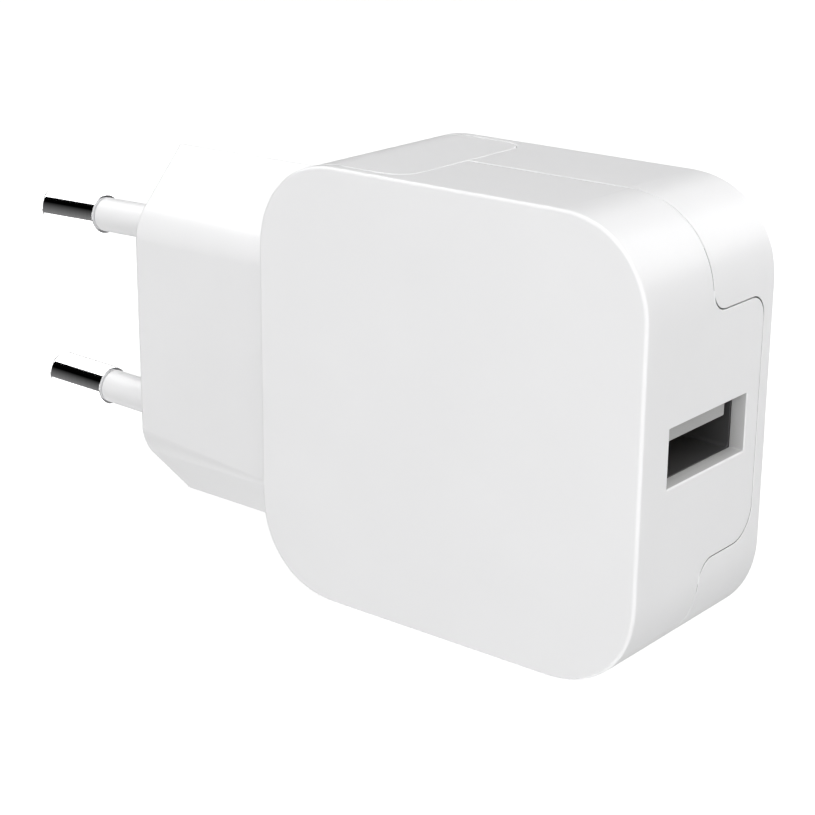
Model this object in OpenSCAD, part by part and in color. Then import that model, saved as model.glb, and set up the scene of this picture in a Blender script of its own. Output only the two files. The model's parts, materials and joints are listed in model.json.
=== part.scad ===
// Two-pin USB wall charger: a two-shell case with a slide-off plug head.
// Millimetres. The origin is the centre of the plug's pin face, between the two pins.
// +X runs from the pins to the USB face, +Z is up and -Y is the near big face.

/* [Case] */
// Length of the case along X
body_length = 41.4; // [41:0.2:46]
// Height of the case
body_height = 41; // [40.6:0.2:44]
// Thickness of the case between its big faces
body_thickness = 20.4; // [20.2:0.2:24]
// Radius of the four big corners
corner_radius = 8.8; // [7:0.2:9.4]
// Height of the case's centre above the plug's centre
body_lift = 0.8; // [0.6:0.05:0.9]
// Thickness of the case walls
wall = 1.8; // [1.6:0.1:1.9]
// Thickness of the wall around the USB window
face_wall = 1.5; // [1.4:0.1:1.6]
// Thickness of the case sides beside the plug head
lip = 1.1; // [0.9:0.1:1.3]

/* [Shell seam] */
// Y of the seam's outer stretch on the USB face
seam_far_y = 8.5; // [7.5:0.1:8.8]
// Height of the upper jog over the case's centre
jog_top = 11.2; // [9:0.1:12]
// Depth of the lower jog under the case's centre
jog_bottom = 11; // [9:0.1:11.5]

/* [Plug head] */
// Depth of the plug block from its pin face to the case
plug_depth = 19.8; // [19.3:0.1:20]
// Height of the plug block
plug_height = 36.7; // [35.5:0.1:36.8]
// Thickness of the plug block
plug_thickness = 13.7; // [13:0.1:14.4]
// Length of the top panel along X
panel_length = 15.8; // [14:0.1:17]
// Thickness of the top panel
panel_thickness = 1.6; // [1.4:0.1:1.8]
// Radius of the top panel's front corners
panel_radius = 2.5; // [1:0.1:4]
// Clearance between the head and the case
head_gap = 0.12; // [0.1:0.01:0.2]

/* [Pins] */
// Distance between the pins at the pin face
pin_spacing = 19.2; // [18.8:0.1:19.2]
// Diameter of a pin's bare end
pin_diameter = 4; // [3.94:0.02:4.06]
// Length of a pin in front of the pin face
pin_length = 19; // [18.5:0.1:19.5]
// Length of a pin's insulating sleeve
sleeve_length = 11; // [10:0.1:11]
// Diameter of a sleeve
sleeve_diameter = 3.5; // [3.4:0.05:3.8]
// Angle by which each pin leans towards the other
pin_lean = 1.5; // [0.5:0.1:1.8]

/* [USB port] */
// Width of the port's opening, along Y
port_width = 12.5; // [12.3:0.1:12.7]
// Height of the port's opening
port_height = 5.25; // [5.1:0.05:5.4]
// Y of the port's centre
port_y = 0.2; // [0:0.1:0.4]
// Z of the port's centre
port_z = 0.9; // [0.8:0.05:1]
// Length of the receptacle's metal shell
receptacle_length = 14; // [13.2:0.2:14.6]
// Thickness of the receptacle's metal
receptacle_metal = 0.3; // [0.25:0.05:0.35]

/* [Hidden] */
$fn = 64;
cut = 1;                 // how far a cutter runs past what it cuts
fit_gap = 0.02;          // gap of a pressed or moulded-in part
seam_gap = 0.05;          // half of the hairline between the shells

body_x0 = plug_depth;
body_x1 = body_x0 + body_length;
body_z0 = body_lift - body_height / 2;
body_z1 = body_lift + body_height / 2;
half_t = body_thickness / 2;

// the head's recess, and what holds the terminal plate
recess_x = body_x0 + 5.8;
recess_y = half_t - lip;
recess_z = body_z0 + 1.3;
floor_z = body_z0 + wall;
panel_x = body_x0 + panel_length;
roof_z = body_z1 - panel_thickness - head_gap;
roof_thickness = 1.4;
flange_x = recess_x + 0.9;
flange_y = 7.2;
flange_z0 = -16;
flange_z1 = 16.5;
inner_x = body_x1 - face_wall;
inner_y = half_t - wall;
plate_x = flange_x + 0.05;
plate_thickness = 1.5;

// the rails that the head slides on
rail_x = body_x0 + 2.1;
rail_width = 1.2;
rail_depth = 1;
rail_gap = 0.15;
rail_z0 = -14;
rail_z1 = 15;

// the contacts
blade_y = 3.2;
blade_thickness = 0.8;
blade_height = 4.6;
blade_x0 = body_x0 + 2.5;
blade_x1 = flange_x + 5;
tail_height = 2;
slot_width = 1.6;
strip = 0.6;
clip_leaf = 0.4;
clip_x = recess_x - 1.3;
shank_radius = 1.4;
cover_thickness = 1.2;
cover_y = 7.4;
cover_z = 15.9;
nub_z = -1;
groove_y = 1.9;
groove_depth = 0.65;

// the boards
board_y0 = -8;
board_thickness = 1.2;
board_y1 = board_y0 + board_thickness;
board_x0 = flange_x + 2.9;
board_x1 = inner_x - 0.5;
board_z0 = floor_z + 0.25;
board_z1 = roof_z - roof_thickness - 0.3;
usb_board_z1 = port_z - port_height / 2 - receptacle_metal - 0.02;
usb_board_thickness = 1;
usb_board_x0 = body_x0 + 23.7;
tab_x = [body_x0 + 26.7, body_x0 + 34.7];
tab_width = 3;
receptacle_x0 = inner_x - 0.05 - receptacle_length;

// the transformer: the centre of its core, and the core's sizes
core_x = body_x0 + 19.6;
core_y = -0.4;
core_z = -10;
core_length = 14;
core_height = 13;
core_depth = 4.5;
core_leg = 2;
core_middle = 4;
bobbin_half = 4.4;
bobbin_tube = 0.6;

shell_white = [0.93, 0.93, 0.93];
plug_white = [0.9, 0.9, 0.9];
nickel = [0.75, 0.75, 0.76];
brass = [0.8, 0.65, 0.35];
board_green = [0.1, 0.42, 0.24];
part_black = [0.1, 0.1, 0.11];

// 2-D shape drawn in X and Z, drawn out from y0 to y1
module along_y(y0, y1) {
    translate([0, y1, 0]) rotate([90, 0, 0]) linear_extrude(y1 - y0) children();
}

// 2-D shape drawn in Y and Z, drawn out from x0 to x1
module along_x(x0, x1) {
    translate([x0, 0, 0]) rotate([90, 0, 90]) linear_extrude(x1 - x0) children();
}

// a block between two corners
module block(low, high) {
    translate(low) cube(high - low);
}

// a rod along X
module rod_x(x0, x1, r) {
    translate([x0, 0, 0]) rotate([0, 90, 0]) cylinder(h = x1 - x0, r = r);
}

// a rod along Y at a given X and Z
module rod_y(x, z, y0, y1, r) {
    translate([x, y1, z]) rotate([90, 0, 0]) cylinder(h = y1 - y0, r = r);
}

// a rectangle between two corners with four round corners
module round_rect(low, high, r) {
    translate([low.x + r, low.y]) square([high.x - low.x - 2 * r, high.y - low.y]);
    translate([low.x, low.y + r]) square([high.x - low.x, high.y - low.y - 2 * r]);
    for (x = [low.x + r, high.x - r], y = [low.y + r, high.y - r]) {
        translate([x, y]) circle(r);
    }
}

// the filled concave corner at a point, opening towards the signs given
module fillet_corner(at, r, sx, sy) {
    difference() {
        translate([at.x + min(0, sx * r), at.y + min(0, sy * r)]) square(r);
        translate([at.x + sx * r, at.y + sy * r]) circle(r);
    }
}

// the case's outline seen from the big faces
module body_outline() {
    round_rect([body_x0, body_z0], [body_x1, body_z1], corner_radius);
}

// the hollow inside the case, from the flange to the USB wall
module cavity_outline() {
    r = corner_radius - wall;
    difference() {
        union() {
            round_rect([flange_x, floor_z], [inner_x, body_z1 - wall], r);
            translate([flange_x, floor_z]) square([2 * r, body_z1 - wall - floor_z]);
        }
        translate([flange_x - cut, roof_z - roof_thickness])
            square([panel_x + roof_thickness - flange_x + cut, 2 * wall + cut]);
    }
}

// everything that has to be free for the plug head
module head_space(gap) {
    block([-cut, -recess_y + gap, recess_z + gap], [recess_x - gap, recess_y - gap, body_z1 + cut]);
    translate([0, 0, roof_z + gap]) linear_extrude(2 * wall)
        round_rect([recess_x - 4 * panel_radius, -recess_y + gap],
            [panel_x, recess_y - gap], panel_radius);
}

// the near shell's share of the USB face, seen along X
module usb_tab_outline(gap) {
    top = body_lift + jog_top - gap;
    bottom = body_lift - jog_bottom + gap;
    far = seam_far_y - gap;
    upper_r = 2;
    lower_r = 3;
    translate([-cut, bottom]) square([far - lower_r + cut, top - bottom]);
    translate([0, bottom + lower_r]) square([far, top - bottom - lower_r - upper_r]);
    translate([0, top - 2 * upper_r]) square([far - upper_r, 2 * upper_r]);
    translate([far - upper_r, top - upper_r]) circle(upper_r);
    translate([far - lower_r, bottom + lower_r]) circle(lower_r);
    fillet_corner([-gap, top], upper_r, 1, 1);
    fillet_corner([-gap, bottom], upper_r, 1, -1);
}

// the hole in the case in front of the receptacle
module port_window() {
    y0 = port_y - port_width / 2;
    z0 = port_z - port_height / 2;
    along_x(inner_x - cut, body_x1 + cut)
        translate([y0, z0]) square([port_width, port_height]);
}

// one half of the case, from y0 to y1, with its big face on the given side
module case_half(side) {
    low = side < 0 ? -half_t : seam_gap;
    high = side < 0 ? -seam_gap : half_t;
    hollow_low = side < 0 ? -inner_y : -cut;
    hollow_high = side < 0 ? cut : inner_y;
    difference() {
        along_y(low, high) body_outline();
        along_y(hollow_low, hollow_high) cavity_outline();
        head_space(0);
        block([recess_x - cut, -flange_y, flange_z0], [flange_x + cut, flange_y, flange_z1]);
    }
}

// the rail of the head and the stop behind the terminal plate, on one side
module case_ribs(side) {
    stop_x = plate_x + plate_thickness + 0.05;
    stop_z = 12;
    root = 0.3;
    rail = [side * (recess_y - rail_depth), side * (recess_y + root)];
    stop = [side * (inner_y - 1), side * (inner_y + root)];
    block([rail_x, min(rail), rail_z0], [rail_x + rail_width, max(rail), rail_z1]);
    block([stop_x, min(stop), -stop_z], [stop_x + 1, max(stop), stop_z]);
}

module near_shell() {
    color(shell_white) difference() {
        union() {
            case_half(-1);
            case_ribs(-1);
            along_x(inner_x, body_x1) usb_tab_outline(seam_gap);
        }
        port_window();
    }
}

module far_shell() {
    color(shell_white) {
        difference() {
            case_half(1);
            along_x(inner_x - cut, body_x1 + cut) usb_tab_outline(-seam_gap);
        }
        case_ribs(1);
    }
}

// the plug block's six-sided section, drawn in Y and Z and shrunk by inset
module plug_section(inset) {
    y = plug_thickness / 2 - inset;
    tip = plug_height / 2 - inset * sqrt(2);
    polygon([[y, tip - y], [0, tip], [-y, tip - y], [-y, y - tip], [0, -tip], [y, y - tip]]);
}

// puts its children at a pin's foot, with -X along the pin; side is 1 up and -1 down
module at_pin(side) {
    translate([0, 0, side * pin_spacing / 2]) rotate([0, -side * pin_lean, 0]) children();
}

plug_wall = 1.8;
pin_wall = 2.2;
collar_thickness = 0.8;
collar_radius = 2.6;
sleeve_root = 0.8;
relief_gap = 0.25;
relief_depth = 0.35;

module plug_housing() {
    pocket_x = recess_x - head_gap - cover_thickness;
    color(plug_white) difference() {
        union() {
            intersection() {
                along_y(-half_t, half_t) body_outline();
                head_space(head_gap);
            }
            along_x(0, pocket_x) plug_section(0);
        }
        along_x(pin_wall, pocket_x + cut) plug_section(plug_wall);
        along_x(pocket_x, recess_x + cut) round_rect([-cover_y, -cover_z], [cover_y, cover_z], 2);
        for (side = [-1, 1]) {
            at_pin(side) rod_x(-cut, sleeve_root + fit_gap, sleeve_diameter / 2 + fit_gap);
            at_pin(side) rod_x(-cut, relief_depth, sleeve_diameter / 2 + relief_gap);
            at_pin(side) rod_x(0, pin_wall + cut, shank_radius + fit_gap);
            head_groove(side);
            blade_slot(side, recess_z - cut, -blade_height);
        }
        latch_groove();
    }
}

// the groove in the head's side that the case's rail runs in
module head_groove(side) {
    edge = [side * (recess_y - rail_depth - 0.1), side * (recess_y + cut)];
    block([rail_x - rail_gap, min(edge), recess_z - cut],
        [rail_x + rail_width + rail_gap, max(edge), rail_z1 + 2 * rail_gap]);
}

// the way through the head for one of the case's blades
module blade_slot(side, z0, z1) {
    y = side * blade_y;
    block([blade_x0 - 0.3, y - slot_width / 2, z0], [recess_x + cut, y + slot_width / 2, z1]);
}

// the groove for the latch spring's nub, open at the head's lower end
module latch_groove() {
    block([recess_x - head_gap - groove_depth, -groove_y, recess_z - cut],
        [recess_x + cut, groove_y, nub_z + 1.2]);
}

module plug_cover() {
    x1 = recess_x - head_gap;
    x0 = x1 - cover_thickness;
    ridge_height = 0.2;
    slot_top = pin_spacing / 2 + blade_height / 2 + 0.4;
    color(plug_white) {
        difference() {
            along_x(x0 + fit_gap, x1) round_rect([fit_gap - cover_y, fit_gap - cover_z],
                [cover_y - fit_gap, cover_z - fit_gap], 2 - fit_gap);
            blade_slot(1, -cover_z - cut, slot_top);
            blade_slot(-1, -cover_z - cut, slot_top - pin_spacing);
            latch_groove();
        }
        // the ridge that the nub snaps over
        block([x1 - groove_depth - 0.1, -groove_y, nub_z - 2.2],
            [x1 - groove_depth + ridge_height, groove_y, nub_z - 1.4]);
    }
}

module pin(side) {
    tip_r = 0.6;
    r = pin_diameter / 2;
    bare = pin_length - sleeve_length;
    color(nickel) at_pin(side) {
        translate([-sleeve_length, 0, 0]) rotate([0, -90, 0]) rotate_extrude() {
            square([r, bare - tip_r]);
            square([r - tip_r, bare]);
            translate([r - tip_r, bare - tip_r]) intersection() {
                circle(tip_r);
                square(tip_r);
            }
        }
        rod_x(-sleeve_length - 0.5, 6, shank_radius);
        rod_x(pin_wall + 0.1, pin_wall + 0.1 + collar_thickness, collar_radius);
    }
}

module sleeve(side) {
    color(plug_white) at_pin(side) difference() {
        rod_x(-sleeve_length + fit_gap, sleeve_root, sleeve_diameter / 2);
        rod_x(-sleeve_length - cut, sleeve_root + cut, shank_radius + fit_gap);
    }
}

// the spring clip that joins a pin to the case's blade
module clip(side) {
    y = side * blade_y;
    z = side * pin_spacing / 2;
    foot_x = 4.4;
    height = 3.4;
    gap = blade_thickness / 2 + 0.1;
    base_x = blade_x0 - 1;
    arm_y = side * (blade_y + 0.3);
    plate = [-side * 2.2, arm_y];
    color(brass) {
        difference() {
            block([foot_x, min(plate), z - 2.2], [foot_x + strip, max(plate), z + 2.2]);
            at_pin(side) rod_x(foot_x - cut, foot_x + 2, shank_radius + fit_gap);
        }
        block([foot_x, min(arm_y, arm_y - side * strip), z - height / 2],
            [base_x + clip_leaf, max(arm_y, arm_y - side * strip), z + height / 2]);
        block([base_x, y - gap - clip_leaf, z - height / 2],
            [base_x + clip_leaf, y + gap + clip_leaf, z + height / 2]);
        for (s = [-1, 1]) {
            leaf = [y + s * gap, y + s * (gap + clip_leaf)];
            block([base_x, min(leaf), z - height / 2], [clip_x, max(leaf), z + height / 2]);
        }
    }
}

module terminal_plate() {
    post_r = 0.5;
    color([0.16, 0.16, 0.17]) {
        difference() {
            union() {
                block([plate_x, -inner_y + 0.1, floor_z + 0.05],
                    [plate_x + plate_thickness, inner_y - 0.1, roof_z - roof_thickness - 0.05]);
                for (side = [-1, 1]) {
                    block([plate_x, side * blade_y - 1.4, side * pin_spacing / 2 - 3.2],
                        [plate_x + 2.6, side * blade_y + 1.4, side * pin_spacing / 2 + 3.2]);
                }
            }
            for (side = [-1, 1]) {
                translate([0, side * blade_y, side * pin_spacing / 2])
                    block([plate_x - cut, -blade_thickness / 2 - fit_gap, -blade_height / 2 - fit_gap],
                        [plate_x + 4, blade_thickness / 2 + fit_gap, blade_height / 2 + fit_gap]);
            }
        }
        for (z = [8, 11]) translate([0, 0, z]) rod_x(plate_x - 0.6, plate_x + 0.5, post_r);
    }
}

// a contact blade, from the head's clip to the main board
module blade(side) {
    y = side * blade_y;
    z = side * pin_spacing / 2;
    t = blade_thickness / 2;
    nose = 0.5;
    color(brass) {
        along_y(y - t, y + t) {
            translate([blade_x0 + nose, z - blade_height / 2])
                square([blade_x1 - blade_x0 - nose, blade_height]);
            translate([blade_x0, z - blade_height / 2 + nose])
                square([nose + 0.1, blade_height - 2 * nose]);
            for (s = [-1, 1]) {
                translate([blade_x0 + nose, z + s * (blade_height / 2 - nose)]) circle(nose);
            }
        }
        block([blade_x1 - 0.8, board_y0 - 0.15, z - tail_height / 2],
            [blade_x1, y, z + tail_height / 2]);
    }
}

module latch_spring() {
    x1 = plate_x - 0.02;
    nub_r = 0.8;
    half_w = 1.5;
    color(nickel) difference() {
        along_y(-half_w, half_w) {
            polygon([[x1, 12.5], [x1 - 0.4, 12.5], [x1 - 0.4, 6], [x1 - 0.8, 4], [x1 - 0.8, -2.6],
                [x1 - 0.4, -2.6], [x1 - 0.4, 3.8], [x1, 5.8]]);
            translate([x1 - 0.7, nub_z]) intersection() {
                circle(nub_r);
                translate([-nub_r, -nub_r]) square([nub_r, 2 * nub_r]);
            }
        }
        for (z = [8, 11]) translate([0, 0, z]) rod_x(x1 - 2, x1 + cut, 0.52);
    }
}

module main_board() {
    color(board_green) difference() {
        along_y(board_y0, board_y1) union() {
            round_rect([board_x0, board_z0], [board_x1, board_z1], 6.4);
            translate([board_x0, board_z0]) square([12, board_z1 - board_z0]);
        }
        for (side = [-1, 1]) {
            translate([blade_x1 - 0.4, 0, side * pin_spacing / 2])
                block([-0.45, board_y0 - cut, -tail_height / 2 - 0.05],
                    [0.45, board_y1 + cut, tail_height / 2 + 0.05]);
        }
        for (x = tab_x) {
            block([x - 0.05, board_y0 - cut, usb_board_z1 - usb_board_thickness - 0.05],
                [x + tab_width + 0.05, board_y1 + cut, usb_board_z1 + 0.05]);
        }
    }
}

module usb_board() {
    color(board_green) {
        block([usb_board_x0, board_y1 + 0.05, usb_board_z1 - usb_board_thickness],
            [inner_x - 0.2, inner_y - 0.2, usb_board_z1]);
        for (x = tab_x) {
            block([x, board_y0 - 0.15, usb_board_z1 - usb_board_thickness],
                [x + tab_width, board_y1 + 0.1, usb_board_z1]);
        }
    }
}

module insulation_sheet() {
    color([0.85, 0.8, 0.62]) along_y(-inner_y + 0.02, -inner_y + 0.2)
        round_rect([board_x0 + 0.2, board_z0 + 0.2], [board_x1 - 0.2, board_z1 - 0.2], 6.2);
}

// one E-shaped half of the transformer's core; side is -1 on the left
module core_half(side) {
    x0 = core_x + side * 0.02;
    x1 = core_x + side * core_length / 2;
    back = x1 - side * 2.5;
    y0 = core_y - core_depth / 2;
    y1 = core_y + core_depth / 2;
    z0 = core_z - core_height / 2;
    leg_z = [z0, core_z - core_middle / 2, z0 + core_height - core_leg];
    leg_h = [core_leg, core_middle, core_leg];
    color([0.22, 0.22, 0.23]) {
        block([min(back, x1), y0, z0], [max(back, x1), y1, z0 + core_height]);
        for (i = [0 : 2]) {
            block([min(x0, x1), y0, leg_z[i]], [max(x0, x1), y1, leg_z[i] + leg_h[i]]);
        }
    }
}

bobbin_x0 = core_x - core_length / 2 + 2.6;
bobbin_x1 = core_x + core_length / 2 - 2.6;
tube_z = core_middle / 2 + 0.1;
tube_y = core_depth / 2 + 0.1;
flange_half_y = 6.1;
winding_inner = bobbin_tube + 0.02;

// a ring section around the core's middle leg, drawn in Y and Z
module around_leg(inner, outer_y, outer_z, r) {
    difference() {
        round_rect([core_y - outer_y, core_z - outer_z], [core_y + outer_y, core_z + outer_z], r);
        translate([core_y - tube_y - inner, core_z - tube_z - inner])
            square([2 * (tube_y + inner), 2 * (tube_z + inner)]);
    }
}

module bobbin() {
    thickness = 0.8;
    color([0.12, 0.12, 0.13]) {
        along_x(bobbin_x0, bobbin_x1)
            around_leg(0, tube_y + bobbin_tube, tube_z + bobbin_tube, 0.3);
        for (x = [bobbin_x0, bobbin_x1 - thickness]) {
            along_x(x, x + thickness) around_leg(0.1, flange_half_y, bobbin_half, 0.8);
        }
    }
}

module winding() {
    color([0.72, 0.4, 0.2]) along_x(bobbin_x0 + 0.85, bobbin_x1 - 0.85)
        around_leg(winding_inner, flange_half_y - 0.5, bobbin_half - 0.5, 1.4);
}

module winding_tape() {
    outer = 0.35;
    inner = 0.48;
    color([0.95, 0.8, 0.2]) along_x(bobbin_x0 + 1.2, bobbin_x1 - 1.2) difference() {
        round_rect([core_y - flange_half_y + outer, core_z - bobbin_half + outer],
            [core_y + flange_half_y - outer, core_z + bobbin_half - outer], 1.55);
        round_rect([core_y - flange_half_y + inner, core_z - bobbin_half + inner],
            [core_y + flange_half_y - inner, core_z + bobbin_half - inner], 1.42);
    }
}

// an electrolytic capacitor standing on the main board, with its rolled groove
module can(x, z, r, height) {
    foot = board_y1 + 0.1;
    groove = 0.35;
    rod_y(x, z, foot, foot + 1, r);
    rod_y(x, z, foot, foot + 2.2, r - groove);
    rod_y(x, z, foot + 1.8, foot + height, r);
}

module input_capacitors() {
    color([0.15, 0.2, 0.35]) for (x = [17.7, 27.2]) can(body_x0 + x, 12.4, 4, 13.5);
}

module output_capacitors() {
    color([0.12, 0.35, 0.3]) {
        can(body_x0 + 32.5, -7.3, 3.1, 11.5);
        can(body_x0 + 32.7, -13.9, 3.1, 11.5);
    }
}

choke_at = [body_x0 + 34.7, 9.6];
choke_foot = board_y1 + 0.1;

module choke_core() {
    color([0.25, 0.25, 0.26]) {
        rod_y(choke_at.x, choke_at.y, choke_foot, choke_foot + 1, 3.2);
        rod_y(choke_at.x, choke_at.y, choke_foot, choke_foot + 8, 1.5);
        rod_y(choke_at.x, choke_at.y, choke_foot + 7, choke_foot + 8, 3.2);
    }
}

module choke_winding() {
    color([0.72, 0.4, 0.2]) difference() {
        rod_y(choke_at.x, choke_at.y, choke_foot + 1.02, choke_foot + 6.98, 2.8);
        rod_y(choke_at.x, choke_at.y, choke_foot, choke_foot + 8, 1.52);
    }
}

module fuse_resistor() {
    color([0.35, 0.55, 0.4]) translate([body_x0 + 13.7, board_y1 + 1.7, 0]) {
        translate([0, 0, -3.6]) cylinder(h = 7.2, r = 1.3);
        for (z = [-3.6, 2.2]) translate([0, 0, z]) cylinder(h = 1.4, r = 1.5);
    }
}

// a chip with a body raised off the board and legs on two sides, X by Z by height
module chip(x, z, size_x, size_z, height, leg_count, leg_width) {
    y = board_y1 + 0.15;
    pitch = size_x / leg_count;
    color(part_black) block([x - size_x / 2, y, z - size_z / 2],
        [x + size_x / 2, y + height, z + size_z / 2]);
    color(nickel) for (i = [0 : leg_count - 1], s = [-1, 1]) {
        leg_x = x - size_x / 2 + pitch * (i + 0.5);
        tips = [z + s * (size_z / 2 - 0.2), z + s * (size_z / 2 + 0.7)];
        block([leg_x - leg_width / 2, board_y1 + 0.02, min(tips)],
            [leg_x + leg_width / 2, board_y1 + 0.3, max(tips)]);
    }
}

module bridge_rectifier() {
    chip(body_x0 + 17.9, 4.6, 4.6, 3.8, 2.4, 2, 0.7);
}

module controller_chip() {
    chip(body_x0 + 23.3, 5.6, 4.9, 3.6, 1.5, 4, 0.45);
}

module optocoupler() {
    chip(body_x0 + 19.3, -0.3, 6.4, 3.4, 3.3, 2, 1.1);
}

module output_diode() {
    chip(body_x0 + 30.3, 5.9, 4.4, 2.2, 2.1, 1, 1.6);
}

module safety_capacitor() {
    radius = 3.1;
    thickness = 2.2;
    color([0.15, 0.4, 0.75]) translate([body_x0 + 27, -2.6, -10]) {
        rod_x(0, thickness, radius);
        for (z = [-1.5, 1.5]) {
            block([thickness / 2 - 0.25, board_y1 + 2.6 + 0.02, z - 0.25],
                [thickness / 2 + 0.25, -radius + 0.8, z + 0.25]);
        }
    }
}

// small chip resistors and capacitors on the main board
module chip_components() {
    spots = [[12.3, 14.4], [12.3, 16.2], [22.45, 17], [22.45, 8.9], [27.1, 7.4], [37.3, 5.4],
        [11.3, -14.6], [11.3, -13], [36.3, 16.2], [32.3, 14.6]];
    half_length = 1;
    half_width = 0.6;
    color([0.7, 0.6, 0.45]) for (s = spots) {
        x = body_x0 + s.x;
        block([x - half_length, board_y1 + 0.02, s.y - half_width],
            [x + half_length, board_y1 + 0.7, s.y + half_width]);
    }
}

// the receptacle's opening grown by a margin, drawn in Y and Z
module port_section(grow, r) {
    half_w = port_width / 2 + grow;
    half_h = port_height / 2 + grow;
    round_rect([port_y - half_w, port_z - half_h], [port_y + half_w, port_z + half_h], r);
}

module usb_shell() {
    x1 = receptacle_x0 + receptacle_length;
    color([0.14, 0.14, 0.15]) {
        along_x(receptacle_x0, x1) difference() {
            port_section(receptacle_metal, 0.7);
            port_section(0, 0.4);
        }
        along_x(receptacle_x0, receptacle_x0 + receptacle_metal) port_section(0.1, 0.4);
    }
}

tongue_thickness = 1.84;
tongue_width = 11.1;
tongue_z1 = port_z + port_height / 2 - 0.36;
tongue_x1 = receptacle_x0 + receptacle_length - 0.2;
back_length = 4.6;

module usb_insulator() {
    x0 = receptacle_x0 + receptacle_metal + 0.02;
    z0 = tongue_z1 - tongue_thickness;
    color([0.75, 0.75, 0.74]) {
        along_x(x0, x0 + back_length) port_section(-0.03, 0.35);
        block([x0, port_y - tongue_width / 2, z0], [tongue_x1, port_y + tongue_width / 2, tongue_z1]);
    }
}

// the four spring contacts under the tongue
module usb_contacts() {
    pitches = [-3.5, -1, 1, 3.5];
    x0 = receptacle_x0 + receptacle_metal + 0.02 + back_length;
    z1 = tongue_z1 - tongue_thickness - 0.01;
    bump = 0.35;
    color(brass) for (p = pitches) {
        block([x0 + 0.02, port_y + p - 0.5, z1 - 0.15], [tongue_x1 - 0.8, port_y + p + 0.5, z1]);
        rod_at = [tongue_x1 - 2.6, z1 - 0.1];
        along_y(port_y + p - 0.5, port_y + p + 0.5) translate(rod_at) intersection() {
            circle(bump);
            translate([-bump, -bump]) square([2 * bump, bump]);
        }
    }
}

near_shell();
far_shell();
plug_housing();
plug_cover();
pin(1);  // pin_upper
pin(-1);  // pin_lower
sleeve(1);  // sleeve_upper
sleeve(-1);  // sleeve_lower
clip(1);  // clip_upper
clip(-1);  // clip_lower
terminal_plate();
blade(1);  // blade_upper
blade(-1);  // blade_lower
latch_spring();
main_board();
usb_board();
insulation_sheet();
core_half(-1);  // core_left
core_half(1);  // core_right
bobbin();
winding();
winding_tape();
input_capacitors();
output_capacitors();
choke_core();
choke_winding();
fuse_resistor();
bridge_rectifier();
controller_chip();
optocoupler();
output_diode();
safety_capacitor();
chip_components();
usb_shell();
usb_insulator();
usb_contacts();
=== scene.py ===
"""A two-pin USB wall charger on a pale floor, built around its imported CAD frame.

Lengths are in metres. MM turns the sizes given in millimetres into metres.
"""

import json
import math

import bmesh
import bpy
from mathutils import Matrix, Vector


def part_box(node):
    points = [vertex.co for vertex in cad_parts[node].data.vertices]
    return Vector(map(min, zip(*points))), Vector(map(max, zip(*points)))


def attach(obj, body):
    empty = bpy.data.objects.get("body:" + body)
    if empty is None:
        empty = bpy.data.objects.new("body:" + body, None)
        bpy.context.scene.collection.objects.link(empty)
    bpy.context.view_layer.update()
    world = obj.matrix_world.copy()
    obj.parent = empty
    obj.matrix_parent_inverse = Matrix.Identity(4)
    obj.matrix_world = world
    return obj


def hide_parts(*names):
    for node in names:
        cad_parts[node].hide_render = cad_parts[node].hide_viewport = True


MM = 0.001
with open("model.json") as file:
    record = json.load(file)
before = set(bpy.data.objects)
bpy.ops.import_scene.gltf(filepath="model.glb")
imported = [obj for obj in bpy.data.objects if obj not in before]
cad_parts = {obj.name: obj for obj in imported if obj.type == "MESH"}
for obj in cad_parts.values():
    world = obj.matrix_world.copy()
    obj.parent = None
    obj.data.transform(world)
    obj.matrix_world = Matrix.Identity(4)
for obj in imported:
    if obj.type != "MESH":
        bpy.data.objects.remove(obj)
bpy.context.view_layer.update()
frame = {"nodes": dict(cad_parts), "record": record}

# ---------------------------------------------------------------- places taken from the frame
NEAR_LOW, NEAR_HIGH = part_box("near_shell")
FAR_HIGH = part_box("far_shell")[1]
CASE_LOW = NEAR_LOW.copy()
CASE_HIGH = Vector((NEAR_HIGH.x, FAR_HIGH.y, NEAR_HIGH.z))
CASE_CENTRE = (CASE_LOW + CASE_HIGH) / 2
FLOOR_Z = CASE_LOW.z
BOARD_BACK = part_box("main_board")[0].y
BOARD_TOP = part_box("main_board")[1].y

# ---------------------------------------------------------------- sizes that the pieces share
SEAM_Y = 0.05 * MM
PORT_Y = 0.2 * MM
PORT_Z = 0.9 * MM
USB_WALL = 1.6 * MM
CORNER_RADIUS = 8.8 * MM
CORNER_POWER = 2.15
BLOCK_SIDE_Y = 6.85 * MM
BLOCK_TIP_Z = 18.35 * MM
BLOCK_SHOULDER_Z = BLOCK_TIP_Z - BLOCK_SIDE_Y
BLOCK_FLARE = 0.15 * MM
PIN_SPACING = 19.2 * MM
PIN_LEAN = math.radians(1.5)
PIN_RADIUS = 2 * MM
PIN_LENGTH = 19 * MM
SLEEVE_LENGTH = 11 * MM
SLEEVE_RADIUS = 1.75 * MM
SHANK_RADIUS = 1.4 * MM


# ---------------------------------------------------------------- node helpers
def new_material(name):
    """A node material with its Principled shader, as (material, nodes, links, shader)."""
    material = bpy.data.materials.new(name)
    material.use_nodes = True
    nodes = material.node_tree.nodes
    return material, nodes, material.node_tree.links, nodes["Principled BSDF"]


def object_noise(nodes, links, scale, detail=3.0, stretch=(1, 1, 1)):
    """A noise texture in the piece's own metres; scale is in features per metre."""
    coords = nodes.new("ShaderNodeTexCoord")
    mapping = nodes.new("ShaderNodeMapping")
    mapping.inputs["Scale"].default_value = stretch
    noise = nodes.new("ShaderNodeTexNoise")
    noise.inputs["Scale"].default_value = scale
    noise.inputs["Detail"].default_value = detail
    links.new(coords.outputs["Object"], mapping.inputs["Vector"])
    links.new(mapping.outputs["Vector"], noise.inputs["Vector"])
    return noise.outputs["Fac"]


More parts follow.
